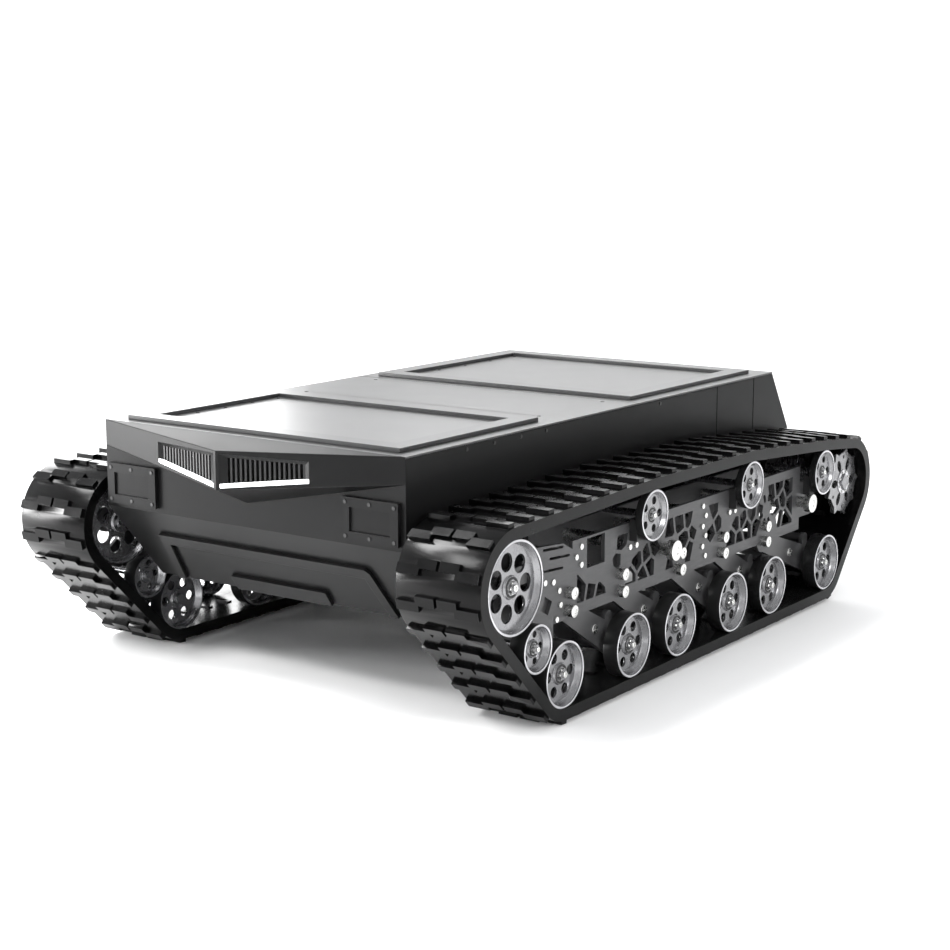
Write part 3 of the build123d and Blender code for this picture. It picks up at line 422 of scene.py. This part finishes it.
for side, hand in SIDES:
    for number in range(2, 7):
        pivot = JOINTS[f"{side}_arm_{number}_swing"]["pos_m"]
        axle = JOINTS[f"{side}_wheel_{number}_spin"]["pos_m"]
        form = bmesh.new()
        lathe(form, [(ARM_FACE - 0.0005, 0), (ARM_FACE - 0.0005, WASHER_R),
                     (ARM_FACE + 0.0006, WASHER_R), (ARM_FACE + 0.0010, SLOTTED_R * 1.02),
                     (ARM_FACE + 0.0010, 0)], WASHER_SIDES)
        for up in (1, -1):
            half_disc(form, ARM_FACE + 0.0008, SLOTTED_R, SLOTTED_H, up)
        at = (TRACK_MID, pivot[1] + (axle[1] - pivot[1]) * ALONG_ARM,
              pivot[2] + (axle[2] - pivot[2]) * ALONG_ARM)
        finish_form(form, f"{side}_arm_{number}_screw", f"{side}_arm_{number}_body",
                    MATERIALS["zinc"], at, hand)


# ================= flared surrounds of the front grilles =================
COWL_LOW, COWL_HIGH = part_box("nose_cowl")
FACET = Vector((COWL_HIGH.x, COWL_HIGH.y - COWL_LOW.y)).normalized()
OPENING = ((0.008, 0.421), (0.190, 0.443), (0.190, 0.482), (0.008, 0.484))
SILL_H = 0.008               # height of the light bar along the bottom
FLARE = (0.013, 0.009, 0.006)    # how far the inner, outer and top faces run in
FLARE_DEPTH = 0.0045
WALL = 0.0012


def on_facet(u, z, depth):
    """A point on the left half of the cowl: u from the tip, and depth in from the face."""
    return (u * FACET.x - depth * FACET.y, COWL_LOW.y + u * FACET.y + depth * FACET.x, z)


def grille_surround(hand, label):
    (u_in, z_a), (u_out, z_b), (_, top_out), (_, top_in) = OPENING
    slope = (z_b - z_a) / (u_out - u_in)
    inner_u, outer_u = u_in + FLARE[0], u_out - FLARE[1]
    mouth = [(u_in, z_a + SILL_H), (u_out, z_b + SILL_H), (u_out, top_out), (u_in, top_in)]
    throat = [(inner_u, z_a + SILL_H + slope * FLARE[0]), (outer_u, z_b + SILL_H - slope * FLARE[1]),
              (outer_u, top_out - FLARE[2]), (inner_u, top_in - FLARE[2])]
    form = bmesh.new()
    loops = [[form.verts.new(on_facet(u, z, depth)) for u, z in outline]
             for outline, depth in ((mouth, 0.0002), (throat, FLARE_DEPTH),
                                    (throat, FLARE_DEPTH + WALL), (mouth, FLARE_DEPTH + WALL))]
    for low, high in zip(loops, loops[1:] + loops[:1]):
        for k in range(4):
            after = (k + 1) % 4
            form.faces.new((low[k], low[after], high[after], high[k]))
    finish_form(form, label, "root", MATERIALS["hull_paint"], (0, 0, 0), hand, False)


for side, hand in SIDES:
    grille_surround(hand, f"{side}_grille_surround")


# ================= soft edges on the carried-over parts =================
EDGE = {"belt_rubber": 0.0011, "hull_paint": 0.0012, "deck_paint": 0.0009, "panel_dark": 0.0006,
        "anodised": 0.0005, "arm_metal": 0.0008, "zinc": 0.0005, "black_steel": 0.0008,
        "wheel_alloy": 0.0005, "light_white": 0.0006, "battery_case": 0.002}
for name, node in frame["nodes"].items():
    width = EDGE.get(SLOTS[name])
    if width is None:
        continue
    weld = node.modifiers.new("weld", "WELD")
    weld.merge_threshold = WELD_GAP
    soften = node.modifiers.new("soft_edges", "BEVEL")
    soften.width = width
    soften.segments = 2
    soften.limit_method = "ANGLE"
    soften.angle_limit = BEVEL_ANGLE
    soften.harden_normals = False


# ================= stage =================
def area_light(name, at, aim, size, power, tall):
    """A soft rectangular light, size across by tall, turned to face aim."""
    data = bpy.data.lights.new(name, "AREA")
    data.energy = power
    data.shape = "RECTANGLE"
    data.size = size
    data.size_y = tall
    light = bpy.data.objects.new(name, data)
    bpy.context.collection.objects.link(light)
    light.location = at
    light.rotation_euler = (Vector(aim) - Vector(at)).to_track_quat("-Z", "Y").to_euler()


FLOOR_R = 6.5                # where the floor starts to curve up into the wall
FLOOR_RINGS = 4
FLOOR_GAP = 0.0005           # the floor lies this far under the lowest point
SWEEP_R = 2.5
SWEEP_STEPS = 8
WALL_H = 7.0
BOWL_SIDES = 96


def studio_bowl():
    """A pale floor that sweeps up into a round wall, so that no view shows an edge."""
    low = min(0.0, CAD_BOX[0].z) - FLOOR_GAP
    profile = [(FLOOR_R * k / FLOOR_RINGS, low) for k in range(1, FLOOR_RINGS + 1)]
    for k in range(1, SWEEP_STEPS + 1):
        turn = pi / 2 * k / SWEEP_STEPS
        profile.append((FLOOR_R + SWEEP_R * sin(turn), low + SWEEP_R * (1 - cos(turn))))
    profile.append((FLOOR_R + SWEEP_R, WALL_H))
    count = BOWL_SIDES
    form = bmesh.new()
    rings = [[form.verts.new((x, y, z)) for x, y in ring_points(radius, count)]
             for radius, z in profile]
    form.faces.new(rings[0])
    for low_ring, high_ring in zip(rings, rings[1:]):
        for k in range(count):
            after = (k + 1) % count
            form.faces.new((low_ring[k], high_ring[k], high_ring[after], low_ring[after]))
    for face in form.faces:
        face.smooth = True
    mesh = bpy.data.meshes.new("studio_bowl")
    form.to_mesh(mesh)
    form.free()
    material, tree, shader = new_material("floor_white")
    tree.links.new(ramp(tree, noise(tree, 0.8), 0.93, 0.95), shader.inputs["Base Color"])
    shader.inputs["Roughness"].default_value = 0.9
    mesh.materials.append(material)
    bowl = bpy.data.objects.new("studio_bowl", mesh)
    bpy.context.collection.objects.link(bowl)


studio_bowl()
area_light("key", (-1.5, -3.3, 3.5), (0.1, -0.4, 0.3), 1.3, 120.0, 0.9)
area_light("side", (4.4, -1.6, 2.3), (0.5, 0.1, 0.2), 2.0, 85.0, 1.0)
area_light("deck_sheen", (-4.4, 2.2, 1.7), (-0.1, -0.5, 0.5), 3.0, 98.0, 1.8)
area_light("back_top", (-1.6, 4.6, 3.2), (0, 0.2, 0.5), 4.0, 90.0, 2.2)
area_light("low_left", (-3.4, -2.5, 0.55), (-0.2, -0.75, 0.42), 1.3, 180.0, 0.9)
area_light("belt_sheen", (-1.2, -1.3, 2.8), (0.48, -0.72, 0.40), 0.8, 170.0, 1.8)

WORLD_STRENGTH = 0.88
SENSOR_WIDTH = 36.0

world = bpy.data.worlds.new("studio")
world.use_nodes = True
world.node_tree.nodes["Background"].inputs["Color"].default_value = (0.96, 0.97, 0.98, 1)
world.node_tree.nodes["Background"].inputs["Strength"].default_value = WORLD_STRENGTH
bpy.context.scene.world = world
bpy.context.scene.view_settings.view_transform = "Standard"

lens = bpy.data.cameras.new("camera")
lens.lens = LENS
lens.sensor_width = SENSOR_WIDTH
camera = bpy.data.objects.new("camera", lens)
bpy.context.collection.objects.link(camera)
back = Vector((sin(AZIMUTH) * cos(ELEVATION), -cos(AZIMUTH) * cos(ELEVATION), sin(ELEVATION)))
camera.location = AIM + back * DISTANCE
camera.rotation_euler = (-back).to_track_quat("-Z", "Y").to_euler()
bpy.context.scene.camera = camera
